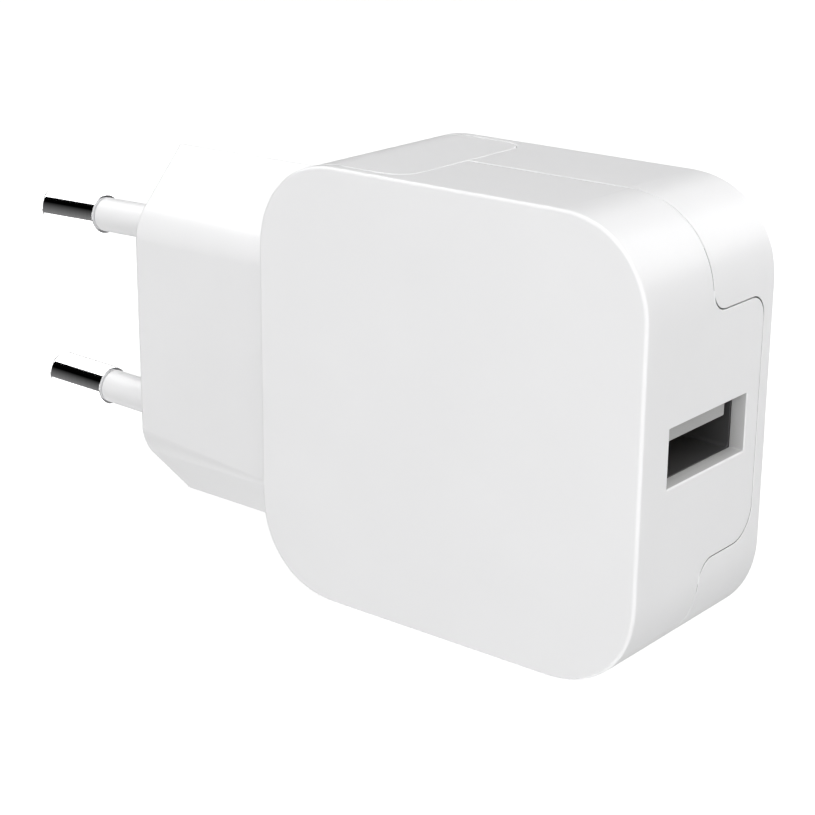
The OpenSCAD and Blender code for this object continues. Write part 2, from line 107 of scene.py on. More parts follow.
def ramp(nodes, links, source, low, high, low_at=0.3, high_at=0.7):
    """Maps a 0-1 value onto the stretch between two colours or two grey levels."""
    node = nodes.new("ShaderNodeValToRGB")
    for stop, value, at in ((0, low, low_at), (1, high, high_at)):
        colour = value if hasattr(value, "__len__") else (value, value, value)
        node.color_ramp.elements[stop].color = (*colour, 1)
        node.color_ramp.elements[stop].position = at
    links.new(source, node.inputs["Fac"])
    return node.outputs["Color"]


def add_bump(nodes, links, shader, source, depth, strength=0.5):
    """Drives the shader's normal from a height; depth is the height of the relief."""
    bump = nodes.new("ShaderNodeBump")
    bump.inputs["Strength"].default_value = strength
    bump.inputs["Distance"].default_value = depth
    links.new(source, bump.inputs["Height"])
    links.new(bump.outputs["Normal"], shader.inputs["Normal"])


def plastic(name, colour, roughness, grain=2600, depth=0.006 * MM, spread=0.02, gloss=0.5):
    """Moulded plastic: slow, faint changes of shade and gloss over a fine moulded grain."""
    material, nodes, links, shader = new_material(name)
    darker = [c * (1 - spread) for c in colour]
    cloud = object_noise(nodes, links, 90, 2)
    links.new(ramp(nodes, links, cloud, darker, colour), shader.inputs["Base Color"])
    links.new(ramp(nodes, links, cloud, roughness + 0.02, roughness - 0.02),
              shader.inputs["Roughness"])
    fine = object_noise(nodes, links, grain, 2)
    shader.inputs["Specular IOR Level"].default_value = gloss
    add_bump(nodes, links, shader, fine, depth)
    return material


def metal(name, colour, roughness, grain=1500, stretch=(1, 1, 1), depth=0.0006 * MM, spread=0.12):
    """Plated or rolled metal: the grain is drawn out along the axes with a small stretch."""
    material, nodes, links, shader = new_material(name)
    shader.inputs["Metallic"].default_value = 1
    streaks = object_noise(nodes, links, grain, 4, stretch)
    darker = [c * (1 - spread) for c in colour]
    links.new(ramp(nodes, links, streaks, darker, colour), shader.inputs["Base Color"])
    cloud = object_noise(nodes, links, 150, 2)
    links.new(ramp(nodes, links, cloud, roughness * 0.85, roughness * 1.15),
              shader.inputs["Roughness"])
    add_bump(nodes, links, shader, streaks, depth, 0.4)
    return material


def board_green():
    """Solder mask over copper: broad traces and planes show as paler green relief."""
    material, nodes, links, shader = new_material("board_green")
    coords = nodes.new("ShaderNodeTexCoord")
    copper = []
    for turn, scale in ((0, 210), (90, 190)):
        mapping = nodes.new("ShaderNodeMapping")
        mapping.inputs["Rotation"].default_value = (math.radians(90), 0, math.radians(turn))
        bricks = nodes.new("ShaderNodeTexBrick")
        bricks.inputs["Scale"].default_value = scale
        bricks.inputs["Mortar Size"].default_value = 0.035
        bricks.inputs["Mortar Smooth"].default_value = 0.3
        links.new(coords.outputs["Object"], mapping.inputs["Vector"])
        links.new(mapping.outputs["Vector"], bricks.inputs["Vector"])
        copper.append(bricks.outputs["Fac"])
    least = nodes.new("ShaderNodeMath")
    least.operation = "MAXIMUM"
    links.new(copper[0], least.inputs[0])
    links.new(copper[1], least.inputs[1])
    gaps = ramp(nodes, links, least.outputs["Value"], (0.012, 0.17, 0.06), (0.005, 0.075, 0.03))
    links.new(gaps, shader.inputs["Base Color"])
    shader.inputs["Roughness"].default_value = 0.28
    add_bump(nodes, links, shader, least.outputs["Value"], -0.03 * MM)
    return material


# ---------------------------------------------------------------- materials, by record slot
WHITE = (0.86, 0.86, 0.865)
MATERIALS = {
    "case": plastic("case_white", WHITE, 0.3, 1400, 0.0015 * MM),
    "plug": plastic("plug_white", WHITE, 0.32, 1400, 0.0015 * MM),
    "sleeve": plastic("sleeve_white", WHITE, 0.36, 1400, 0.0015 * MM),
    "pin_metal": metal("pin_nickel", (0.86, 0.86, 0.87), 0.07, 2500, (3, 0.3, 0.3), spread=0.06),
    "contact_brass": metal("contact_brass", (0.78, 0.58, 0.27), 0.28, 1200, (0.3, 2, 2)),
    "contact_gold": metal("contact_gold", (0.95, 0.7, 0.3), 0.2, 1500),
    "spring_steel": metal("spring_steel", (0.6, 0.6, 0.62), 0.26, 1500, (2, 2, 0.2)),
    "terminal": plastic("terminal_black", (0.035, 0.035, 0.038), 0.5, spread=0.2),
    "black_plastic": plastic("epoxy_black", (0.022, 0.022, 0.024), 0.55, 4000, spread=0.3),
    "insulation": plastic("polyester_film", (0.72, 0.62, 0.36), 0.3, 700),
    "ferrite": plastic("ferrite_grey", (0.045, 0.045, 0.05), 0.5, 5000, 0.02 * MM, 0.4, 0.6),
    "tape": plastic("yellow_tape", (0.83, 0.55, 0.03), 0.28, 900, 0.02 * MM, 0.12),
    "capacitor_blue": plastic("sleeve_blue", (0.02, 0.035, 0.11), 0.25, 900, spread=0.2),
    "capacitor_green": plastic("sleeve_green", (0.01, 0.09, 0.065), 0.25, 900, spread=0.2),
    "resistor": plastic("lacquer_green", (0.1, 0.26, 0.16), 0.35, 1500, spread=0.2),
    "disc_blue": plastic("epoxy_blue", (0.02, 0.13, 0.45), 0.3, 900, 0.03 * MM, 0.2),
    "chip_ceramic": plastic("chip_ceramic", (0.42, 0.3, 0.17), 0.45, 3000, spread=0.3),
    "board": board_green(),
    "copper": metal("enamelled_copper", (0.72, 0.3, 0.13), 0.25, 900, (1, 1, 1), spread=0.2),
    "port_shell": plastic("blackened_steel", (0.085, 0.085, 0.087), 0.34, 1500, spread=0.15),
    "port_tongue": plastic("tongue_grey", (0.5, 0.5, 0.495), 0.45),
}
# painted shade: dark grey on the seam's wall, deep in the hairline between the shells
SEAM_SHADOW = plastic("seam_shadow", (0.12, 0.12, 0.12), 0.6)
# painted shade: grey on the walls of the USB window, where shade falls in the recess
WINDOW_PAINTED_SHADE = plastic("window_painted_shade", (0.62, 0.62, 0.62), 0.5, 1400, 0.003 * MM)


# ---------------------------------------------------------------- mesh helpers
def squared_corner(point):
    """Moves a point at one of the case's big corners out to a softer, squarer curve."""
    side_x = 1 if point.x > CASE_CENTRE.x else -1
    side_z = 1 if point.z > CASE_CENTRE.z else -1
    edge_x = CASE_HIGH.x if side_x > 0 else CASE_LOW.x
    edge_z = CASE_HIGH.z if side_z > 0 else CASE_LOW.z
    centre_x = edge_x - side_x * CORNER_RADIUS
    centre_z = edge_z - side_z * CORNER_RADIUS
    out_x = side_x * (point.x - centre_x)
    out_z = side_z * (point.z - centre_z)
    if out_x <= 0 or out_z <= 0:
        return point
    length = math.hypot(out_x, out_z)
    power = CORNER_POWER
    reach = ((out_x / length) ** power + (out_z / length) ** power) ** (-1 / power)
    return Vector((centre_x + side_x * out_x * reach, point.y, centre_z + side_z * out_z * reach))


def cad_bmesh(node):
    """The node's CAD mesh with its flat faces made whole again."""
    mesh = bmesh.new()
    mesh.from_mesh(frame["nodes"][node].data)
    bmesh.ops.remove_doubles(mesh, verts=mesh.verts, dist=1e-6)
    bmesh.ops.dissolve_limit(mesh, angle_limit=math.radians(0.6), verts=mesh.verts,
                             edges=mesh.edges, delimit=set())
    return mesh


def sharp_edges(mesh, test=None, least=40):
    """The edges that turn by more than the least angle, in degrees, and pass the test."""
    limit = math.radians(least)
    return [e for e in mesh.edges if len(e.link_faces) == 2
            and e.calc_face_angle(0) > limit and (test is None or test(e))]


def both(edge, test):
    """True if both ends of an edge pass the test."""
    return all(test(v.co) for v in edge.verts)


def round_edges(mesh, edges, width, segments):
    """Rounds edges by a width."""
    if edges:
        bmesh.ops.bevel(mesh, geom=edges, offset=width, offset_type="OFFSET", segments=segments,
                        profile=0.5, affect="EDGES", clamp_overlap=False, loop_slide=True)


def make_object(name, mesh):
    """Puts a bmesh into the scene as an object."""
    data = bpy.data.meshes.new(name)
    mesh.to_mesh(data)
    mesh.free()
    piece = bpy.data.objects.new(name, data)
    bpy.context.scene.collection.objects.link(piece)
    return piece


def loft(mesh, rings, closed=False):
    """Skins a list of equal rings. The ends are capped, or joined to each other if closed."""
    made = [[mesh.verts.new(point) for point in ring] for ring in rings]
    pairs = list(zip(made, made[1:] + made[:1])) if closed else list(zip(made, made[1:]))
    for ring, following in pairs:
        count = len(ring)
        for i in range(count):
            j = (i + 1) % count
            mesh.faces.new((ring[i], ring[j], following[j], following[i]))
    if not closed:
        mesh.faces.new(made[0][::-1])
        mesh.faces.new(made[-1])


def turned(mesh, profile, foot, axis, segments=64, closed=False):
    """Turns a profile of (distance, radius) about an axis that starts at the foot."""
    axis = Vector(axis).normalized()
    across = axis.orthogonal().normalized()
    upward = axis.cross(across)
    rings = []
    for distance, radius in profile:
        centre = Vector(foot) + axis * distance
        ring = []
        for i in range(segments):
            angle = 2 * math.pi * i / segments
            ring.append(centre + (across * math.cos(angle) + upward * math.sin(angle)) * radius)
        rings.append(ring)
    loft(mesh, rings, closed)


def arc(distance, radius, bend, start, end, steps=6):
    """Profile points on an arc about (distance, radius), from one angle to another in degrees."""
    points = []
    for i in range(steps + 1):
        angle = math.radians(start + (end - start) * i / steps)
        points.append((distance + bend * math.cos(angle), radius + bend * math.sin(angle)))
    return points


def box_into(mesh, low, high, round_by=0.0, segments=2):
    """Adds a box between two corners to a mesh, with its edges rounded."""
    part = bmesh.new()
    bmesh.ops.create_cube(part, size=1)
    for vert in part.verts:
        vert.co = Vector([low[i] if vert.co[i] < 0 else high[i] for i in range(3)])
    if round_by:
        round_edges(part, part.edges[:], round_by, segments)
    copy = bpy.data.meshes.new("box_part")
    part.to_mesh(copy)
    part.free()
    mesh.from_mesh(copy)
    bpy.data.meshes.remove(copy)


def shade(piece, sharp=35):
    """Smooth shading that keeps edges over the sharp angle and leaves flat faces flat."""
    data = piece.data
    mesh = bmesh.new()
    mesh.from_mesh(data)
    for face in mesh.faces:
        face.smooth = True
    for edge in mesh.edges:
        edge.smooth = len(edge.link_faces) != 2 or edge.calc_face_angle(0) < math.radians(sharp)
    mesh.to_mesh(data)
    mesh.free()
    normals = piece.modifiers.new("face_weighted", "WEIGHTED_NORMAL")
    normals.keep_sharp = True
    normals.weight = 60


NODE_SLOT = {s["node"]: s["material_slot"] for s in frame["record"]["subparts"]}
NODE_BODY = {n: b for b, ns in frame["record"]["behaviour"]["bodies"].items() for n in ns}


def stand_for(piece, node):
    """Lets a piece stand for a CAD node: it gets the material of the node's slot and rides with the
    node's body.
    """
    slot = NODE_SLOT[node]
    piece.data.materials.clear()
    piece.data.materials.append(MATERIALS[slot])
    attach(piece, NODE_BODY[node])
    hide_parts(node)
    return piece


def refined(node, width, segments=2, steps=(), warp=None, least=40):
    """A finished piece from a CAD node: chosen edges rounded first, then every other sharp edge."""
    mesh = cad_bmesh(node)
    for test, step_width, step_segments in steps:
        round_edges(mesh, sharp_edges(mesh, test, least), step_width, step_segments)
    rest = sharp_edges(mesh, None, least)
    round_edges(mesh, rest, width, segments)
    if warp:
        for vert in mesh.verts:
            vert.co = warp(vert.co)
    bmesh.ops.remove_doubles(mesh, verts=mesh.verts, dist=2e-7)
    bmesh.ops.recalc_face_normals(mesh, faces=mesh.faces)
    piece = make_object(node + "_piece", mesh)
    shade(piece)
    return stand_for(piece, node)


def new_piece(name, mesh, slot, body="case", nodes=(), sharp=35, material=None):
    """Finishes a piece made from nothing: cleans it, shades it, gives it its slot's material and ties
    it to a body.
    """
    bmesh.ops.remove_doubles(mesh, verts=mesh.verts, dist=2e-7)
    bmesh.ops.recalc_face_normals(mesh, faces=mesh.faces)
    piece = make_object(name, mesh)
    shade(piece, sharp)
    piece.data.materials.append(material or MATERIALS[slot])
    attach(piece, body)
    if nodes:
        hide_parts(*nodes)
    return piece


def near(value, target, margin=0.02 * MM):
    """True if two lengths are the same within a margin."""
    return abs(value - target) < margin


# ---------------------------------------------------------------- the case
BIG_EDGE = 0.33 * MM
SEAM_EDGE = 0.07 * MM
TOP_EDGE = 0.13 * MM
WINDOW_EDGE = 0.12 * MM
# index of the second material on a shell: the painted shade of its seam wall or window walls
PAINTED_SHADE_INDEX = 1


def on_near_face(co):
    return near(co.y, CASE_LOW.y)


def on_far_face(co):
    return near(co.y, CASE_HIGH.y)


def on_top(co):
    """True on the case's flat top."""
    return near(co.z, CASE_HIGH.z)


def at_window(co):
    """True on the rim of the USB window."""
    on_face = near(co.x, CASE_HIGH.x)
    return on_face and near(co.y, PORT_Y, 6.4 * MM) and near(co.z, PORT_Z, 2.8 * MM)


near_piece = refined("near_shell", SEAM_EDGE, 3, [
    (lambda e: both(e, on_near_face), BIG_EDGE, 6),
    (lambda e: both(e, on_top), TOP_EDGE, 3),
    (lambda e: both(e, at_window), WINDOW_EDGE, 3),
], squared_corner)
far_piece = refined("far_shell", SEAM_EDGE, 3, [
    (lambda e: both(e, on_far_face), BIG_EDGE, 6),
    (lambda e: both(e, on_top), TOP_EDGE, 3),
], squared_corner)


def shade_window(piece):
    """Paints shade on the walls of the USB window as a greyer, rougher material."""
    piece.data.materials.append(WINDOW_PAINTED_SHADE)
    half = Vector((0, 6.4 * MM, 2.8 * MM))
    low = Vector((CASE_HIGH.x - USB_WALL, PORT_Y, PORT_Z)) - half
    high = Vector((CASE_HIGH.x - 0.02 * MM, PORT_Y, PORT_Z)) + half
    for face in piece.data.polygons:
        inside = all(low[i] < face.center[i] < high[i] for i in range(3))
        if inside and abs(face.normal.x) < 0.1:
            face.material_index = PAINTED_SHADE_INDEX


def shade_seam(piece):
    """Paints shade on the seam's wall below the top, deep in the hairline between the shells."""
    dark_under_z = CASE_HIGH.z - 4 * MM
    mesh = bmesh.new()
    mesh.from_mesh(piece.data)

    def on_seam(face):
        return face.normal.y < -0.99 and near(face.calc_center_median().y, SEAM_Y)

    walls = [face for face in mesh.faces if on_seam(face)]
    parts = dict.fromkeys(walls)
    for face in walls:
        parts.update(dict.fromkeys(face.edges))
        parts.update(dict.fromkeys(face.verts))
    bmesh.ops.bisect_plane(mesh, geom=list(parts), dist=1e-7, plane_no=(0, 0, 1),
                           plane_co=(0, 0, dark_under_z))
    for face in mesh.faces:
        middle = face.calc_center_median()
        on_low_wall = on_seam(face) and middle.z < dark_under_z
        behind_tab = middle.x > CASE_HIGH.x - USB_WALL and 0 < middle.y < 9 * MM
        if on_low_wall or (behind_tab and abs(face.normal.x) < 0.1):
            face.material_index = PAINTED_SHADE_INDEX
    mesh.to_mesh(piece.data)
    mesh.free()
    piece.data.materials.append(SEAM_SHADOW)


# painted shade on the far shell's seam wall and on the near shell's window walls
shade_seam(far_piece)
shade_window(near_piece)


# ---------------------------------------------------------------- the plug head
def plug_warp(point):
    """The case's corner curve, and the plug block's slight flare towards the case."""
    point = squared_corner(point)
    if point.x > CASE_LOW.x:
        return point
    flare = BLOCK_FLARE * (2 * point.x / CASE_LOW.x - 1)
    return Vector((point.x, point.y * (1 + flare / BLOCK_SIDE_Y), point.z * (1 + flare / BLOCK_TIP_Z)))


def along_block(edge):
    """True for an edge that runs the length of the plug block."""
    a, b = (v.co for v in edge.verts)
    return abs(a.x - b.x) > 15 * MM


def at_shoulder(co):
    return near(abs(co.y), BLOCK_SIDE_Y) and near(abs(co.z), BLOCK_SHOULDER_Z)


def at_tip(co):
    return near(co.y, 0) and near(abs(co.z), BLOCK_TIP_Z)


def at_pin_face(co):
    foot = Vector((0, 0, math.copysign(PIN_SPACING / 2, co.z)))
    return near(co.x, 0) and (co - foot).length > 3 * MM


SHOULDER_EDGE = 1.8 * MM
TIP_EDGE = 0.15 * MM
PIN_FACE_EDGE = 0.45 * MM
refined("plug_housing", SEAM_EDGE, 3, [
    (lambda e: along_block(e) and both(e, at_shoulder), SHOULDER_EDGE, 8),
    (lambda e: along_block(e) and both(e, at_tip), TIP_EDGE, 2),
    (lambda e: both(e, at_pin_face), PIN_FACE_EDGE, 4),
    (lambda e: both(e, on_top), TOP_EDGE, 3),
], plug_warp)
refined("plug_cover", 0.12 * MM)


def pin_axis(side):
    """Foot and direction of a pin; side is 1 for the upper one and -1 for the lower one."""
    foot = Vector((0, 0, side * PIN_SPACING / 2))
    return foot, Vector((-math.cos(PIN_LEAN), 0, -side * math.sin(PIN_LEAN)))


def make_pin(node, side):
    """A turned pin: shank, collar, shoulder and bare end with a rounded tip."""
    foot, axis = pin_axis(side)
    collar = 2.6 * MM
    collar_from, collar_to = -3.1 * MM, -2.3 * MM
    edge = 0.06 * MM
    tip = 0.6 * MM
    profile = [(-6 * MM, 0), (-6 * MM, SHANK_RADIUS - edge), (-6 * MM + edge, SHANK_RADIUS),
               (collar_from, SHANK_RADIUS), (collar_from, collar - edge),
               (collar_from + edge, collar), (collar_to - edge, collar), (collar_to, collar - edge),
               (collar_to, SHANK_RADIUS), (SLEEVE_LENGTH, SHANK_RADIUS)]
    profile += arc(SLEEVE_LENGTH + edge, PIN_RADIUS - edge, edge, 180, 90, 3)
    profile += arc(PIN_LENGTH - tip, PIN_RADIUS - tip, tip, 90, 0, 10)
    profile.append((PIN_LENGTH, 0))
    mesh = bmesh.new()
    turned(mesh, profile, foot, axis, 96)
    return new_piece(node + "_piece", mesh, "pin_metal", "plug_head", [node])


def make_sleeve(node, side):
    """A moulded sleeve with a soft outer end, around the pin's shank."""
    foot, axis = pin_axis(side)
    bore = SHANK_RADIUS + 0.02 * MM
    soft = 0.2 * MM
    inner_end = -0.8 * MM
    profile = [(inner_end, bore), (inner_end, SLEEVE_RADIUS - soft / 2)]
    profile += [(inner_end + soft / 2, SLEEVE_RADIUS)]
    profile += arc(SLEEVE_LENGTH - soft - 0.02 * MM, SLEEVE_RADIUS - soft, soft, 90, 0, 6)
    profile += [(SLEEVE_LENGTH - 0.02 * MM, bore)]
    mesh = bmesh.new()
    turned(mesh, profile, foot, axis, 96, closed=True)
    new_piece(node + "_piece", mesh, "sleeve", "plug_head", [node])


bare_pins = []
for side, place in ((1, "upper"), (-1, "lower")):
    bare_pins.append(make_pin("pin_" + place, side))
    make_sleeve("sleeve_" + place, side)
    refined("clip_" + place, 0.06 * MM)
    refined("blade_" + place, 0.08 * MM)


# ---------------------------------------------------------------- the USB receptacle
refined("usb_shell", 0.08 * MM, 3)
refined("usb_insulator", 0.1 * MM, 3)
refined("usb_contacts", 0.05 * MM)
refined("usb_board", 0.06 * MM)


# ---------------------------------------------------------------- terminals, board and film
refined("terminal_plate", 0.12 * MM, 3)
refined("latch_spring", 0.04 * MM)
refined("main_board", 0.06 * MM)
refined("insulation_sheet", 0.03 * MM)


# ---------------------------------------------------------------- the transformer
def round_box_ring(centre, half_y, half_z, radius, steps=6):
    """A rectangle with round corners, as a ring of points about X."""
    ring = []
    for sign_y, sign_z, start in ((1, 1, 0), (-1, 1, 90), (-1, -1, 180), (1, -1, 270)):
        for i in range(steps + 1):
            angle = math.radians(start + 90 * i / steps)
            y = sign_y * (half_y - radius) + radius * math.cos(angle)
            z = sign_z * (half_z - radius) + radius * math.sin(angle)
            ring.append(centre + Vector((0, y, z)))
    return ring


def wire_turns(low, high, turns, depth):
    """Pairs of (place, inset) over a row of round wires that lie side by side."""
    pitch = (high - low) / turns
    places = []
    for turn in range(turns):
        for step in range(6):
            places.append((low + pitch * (turn + step / 6), depth * abs(math.cos(math.pi * step / 6))))
    places.append((high, depth))
    return places


def make_winding():
    """The transformer's outer layer of wire, around its bobbin."""
    low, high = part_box("winding")
    centre = (low + high) / 2
    half = (high - low) / 2
    corner = 1.4 * MM
    bore = 0.9 * MM
    rings = []
    for x, inset in wire_turns(low.x, high.x, 24, 0.08 * MM):
        rings.append(round_box_ring(Vector((x, centre.y, centre.z)), half.y - inset,
                                    half.z - inset, corner - inset))
    for x in (high.x, low.x):
        rings.append(round_box_ring(Vector((x, centre.y, centre.z)), half.y - bore,
                                    half.z - bore, corner - bore))
    mesh = bmesh.new()
    loft(mesh, rings, closed=True)
    new_piece("winding_piece", mesh, "copper", "case", ["winding"], sharp=60)


refined("core_left", 0.15 * MM, 3)
refined("core_right", 0.15 * MM, 3)
refined("bobbin", 0.1 * MM)
refined("winding_tape", 0.04 * MM)
make_winding()


# ---------------------------------------------------------------- wires, legs and solder
# places on the main board that a lead comes through, in millimetres, as board_place takes them
SOLDER_SPOTS = []


def elbow(start, corner, end, radius, steps=5):
    """A path from start to end with a round bend at a right-angled corner."""
    start, corner, end = Vector(start), Vector(corner), Vector(end)
    back = (start - corner).normalized()
    onward = (end - corner).normalized()
    centre = corner + (back + onward) * radius
    path = [start]
    for i in range(steps + 1):
        angle = math.radians(90 * i / steps)
        path.append(centre - onward * radius * math.cos(angle) - back * radius * math.sin(angle))
    return path + [end]


def wire(mesh, path, radius, side, segments=14):
    """A round wire along a path that bends in the plane across the side vector."""
    side = Vector(side)
    rings = []
    for i, point in enumerate(path):
        before = path[max(i - 1, 0)]
        after = path[min(i + 1, len(path) - 1)]
        upward = (after - before).normalized().cross(side)
        ring = []
        for step in range(segments):
            angle = 2 * math.pi * step / segments
            ring.append(point + (side * math.cos(angle) + upward * math.sin(angle)) * radius)
        rings.append(ring)
    loft(mesh, rings)


def strip(mesh, path, thickness, low_x, high_x):
    """A flat metal strip bent along a path of (y, z), between two places on X."""
    upper, lower = [], []
    for i, point in enumerate(path):
        before = Vector(path[max(i - 1, 0)])
        after = Vector(path[min(i + 1, len(path) - 1)])
        ahead = (after - before).normalized()
        normal = Vector((-ahead.y, ahead.x)) * thickness / 2
        upper.append(Vector(point) + normal)
        lower.append(Vector(point) - normal)
    outline = upper + lower[::-1]
    loft(mesh, [[Vector((x, p.x, p.y)) for p in outline] for x in (low_x, high_x)])


def board_place(x, z):
    """A place on the main board, from millimetres along X from the case's back and in Z."""
    return Vector((CASE_LOW.x + x * MM, BOARD_TOP, z * MM))


# ---------------------------------------------------------------- capacitors, choke, resistor
def cross_vent(mesh, centre, radius, height):
    """The four quarters of a can's top, parted by its pressed cross."""
    half_groove = 0.07 * MM
    for quarter in range(4):
        turn = Matrix.Rotation(math.radians(90 * quarter), 3, "Y")
        outline = [(half_groove, half_groove)]
        for i in range(13):
            angle = math.radians(90 * i / 12)
            outline.append((max(half_groove, radius * math.cos(angle)),
                            max(half_groove, radius * math.sin(angle))))
        rings = []
        for y, shrink in ((0, 1), (height * 0.6, 1), (height, 0.97)):
            rings.append([centre + turn @ Vector((a * shrink, y, b * shrink)) for a, b in outline])
        loft(mesh, rings)


def make_cans(node, slot, places, radius, height, stripe_colour):
    """Electrolytic capacitors: printed sleeve, rolled groove, stripe and vented top."""
    sleeve, tops, stripes = bmesh.new(), bmesh.new(), bmesh.new()
    foot_gap = 0.1 * MM
    groove = 0.32 * MM
    roll = 0.3 * MM
    sink = 0.28 * MM
    profile = [(0.05 * MM, 0), (0, radius * 0.8)]
    profile += arc(roll, radius - roll, roll, 180, 90, 5)
    profile += arc(1.5 * MM, radius + 0.25 * MM, groove + 0.25 * MM, 230, 310, 8)
    profile += arc(height - roll, radius - roll, roll, 90, 0, 6)
    profile += [(height, radius - 0.5 * MM), (height - sink, radius - 0.62 * MM), (height - sink, 0)]
    for x, z in places:
        foot = board_place(x, z) + Vector((0, foot_gap, 0))
        turned(sleeve, profile, foot, (0, 1, 0), 72)
        top = foot + Vector((0, height - sink, 0))
        turned(tops, [(0, 0), (0, radius - 0.62 * MM), (0.04 * MM, radius - 0.64 * MM),
                      (0.04 * MM, 0)], top, (0, 1, 0), 48)
        cross_vent(tops, top + Vector((0, 0.03 * MM, 0)), radius - 0.8 * MM, 0.12 * MM)
        rings = []
        for y in (2.6 * MM, height - 0.7 * MM):
            ring = []
            for reach, order in ((radius + 0.015 * MM, 1), (radius - 0.1 * MM, -1)):
                for i in range(9)[::order]:
                    angle = math.radians(-20 + 5 * i)
                    ring.append(foot + Vector((reach * math.sin(angle), y, reach * math.cos(angle))))
            rings.append(ring)
        loft(stripes, rings)
        SOLDER_SPOTS.append((x - 1, z))
        SOLDER_SPOTS.append((x + 1, z))
    new_piece(node + "_piece", sleeve, slot, "case", [node])
    new_piece(node + "_tops", tops, "spring_steel", sharp=25)
    stripe = plastic(node + "_stripe", stripe_colour, 0.3)
    new_piece(node + "_stripes", stripes, slot, material=stripe)


make_cans("input_capacitors", "capacitor_blue", [(17.7, 12.4), (27.2, 12.4)], 4 * MM, 13.5 * MM,
          (0.3, 0.33, 0.38))
make_cans("output_capacitors", "capacitor_green", [(32.5, -7.3), (32.7, -13.9)], 3.1 * MM,
          11.5 * MM, (0.62, 0.5, 0.2))


def make_choke():
    """A drum core standing on the board, wound with enamelled wire."""
    foot = board_place(34.7, 9.6) + Vector((0, 0.1 * MM, 0))
    soft = 0.15 * MM
    leg, flange = 1.5 * MM, 3.2 * MM
    core = bmesh.new()
    profile = [(0, 0), (0, flange - soft), (soft, flange), (1 * MM - soft, flange),
               (1 * MM, flange - soft), (1 * MM, leg), (7 * MM, leg), (7 * MM, flange - soft),
               (7 * MM + soft, flange), (8 * MM - soft, flange), (8 * MM, flange - soft),
               (8 * MM, 0.4 * MM), (7.8 * MM, 0)]
    turned(core, profile, foot, (0, 1, 0), 64)
    new_piece("choke_core_piece", core, "ferrite", "case", ["choke_core"])
    wound = bmesh.new()
    low, high = 1.02 * MM, 6.98 * MM
    profile = [(place, 2.8 * MM - inset) for place, inset in wire_turns(low, high, 18, 0.1 * MM)]
    profile += [(high, leg + 0.02 * MM), (low, leg + 0.02 * MM)]
    turned(wound, profile, foot, (0, 1, 0), 64, closed=True)
    new_piece("choke_winding_piece", wound, "copper", "case", ["choke_winding"], sharp=60)


def make_fuse_resistor():
    """A lacquered resistor with swollen ends, colour bands and bent leads."""
    middle = board_place(13.7, 0) + Vector((0, 1.7 * MM, 0))
    foot = middle + Vector((0, 0, -3.6 * MM))
    body = bmesh.new()
    profile = [(0, 0), (0, 0.6 * MM)] + arc(0.6 * MM, 0.9 * MM, 0.6 * MM, 170, 80, 6)
    profile += [(1.5 * MM, 1.38 * MM), (2 * MM, 1.3 * MM), (5.2 * MM, 1.3 * MM),
                (5.7 * MM, 1.38 * MM)]
    profile += arc(6.6 * MM, 0.9 * MM, 0.6 * MM, 100, 10, 6) + [(7.2 * MM, 0.6 * MM), (7.2 * MM, 0)]
    turned(body, profile, foot, (0, 0, 1), 48)
    new_piece("fuse_resistor_piece", body, "resistor", "case", ["fuse_resistor"])
    for name, colour, places in (("brown", (0.13, 0.045, 0.02), (2.2, 4.6)),
                                 ("black", (0.02, 0.02, 0.02), (3.0,)),
                                 ("gold", (0.6, 0.42, 0.12), (3.8,))):
        bands = bmesh.new()
        for place in places:
            start, end = place * MM, (place + 0.4) * MM
            profile = [(start, 1.25 * MM), (start, 1.315 * MM), (end, 1.315 * MM), (end, 1.25 * MM)]
            turned(bands, profile, foot, (0, 0, 1), 48, closed=True)
        paint = plastic("band_" + name, colour, 0.35)
        new_piece("fuse_resistor_" + name, bands, "resistor", material=paint)
    leads = bmesh.new()
    for side in (-1, 1):
        start = middle + Vector((0, 0, side * 3.5 * MM))
        corner = middle + Vector((0, 0, side * 4.6 * MM))
        end = corner - Vector((0, 1.75 * MM, 0))
        wire(leads, elbow(start, corner, end, 0.5 * MM), 0.3 * MM, (1, 0, 0))
        SOLDER_SPOTS.append((13.7, side * 4.6))
    new_piece("fuse_resistor_leads", leads, "spring_steel", sharp=50)


def make_safety_capacitor():
    """A dipped ceramic disc on two leads."""
    foot = board_place(27, -10) + Vector((0, 4.2 * MM, 0))
    radius = 3.1 * MM
    body = bmesh.new()
    profile = [(0, 0), (0.05 * MM, 1.6 * MM), (0.25 * MM, 2.35 * MM)]
    profile += arc(1.1 * MM, radius - 0.8 * MM, 0.8 * MM, 150, 30, 8)
    profile += [(1.95 * MM, 2.35 * MM), (2.15 * MM, 1.6 * MM), (2.2 * MM, 0)]
    turned(body, profile, foot, (1, 0, 0), 56)
    leads = bmesh.new()
    for z in (-1.5, 1.5):
        low = foot + Vector((1.1 * MM, -4.25 * MM, z * MM))
        high = foot + Vector((1.1 * MM, -2.2 * MM, z * MM))
        wire(leads, [low, high], 0.25 * MM, (1, 0, 0))
        turned(body, [(0, 0), (0, 0.3 * MM), (0.7 * MM, 0.5 * MM), (1 * MM, 0)],
               high - Vector((0, 0.5 * MM, 0)), (0, 1, 0), 20)
        SOLDER_SPOTS.append((28.1, -10 + z))
    new_piece("safety_capacitor_piece", body, "disc_blue", "case", ["safety_capacitor"])
    new_piece("safety_capacitor_leads", leads, "spring_steel", sharp=50)


make_choke()
make_fuse_resistor()
make_safety_capacitor()


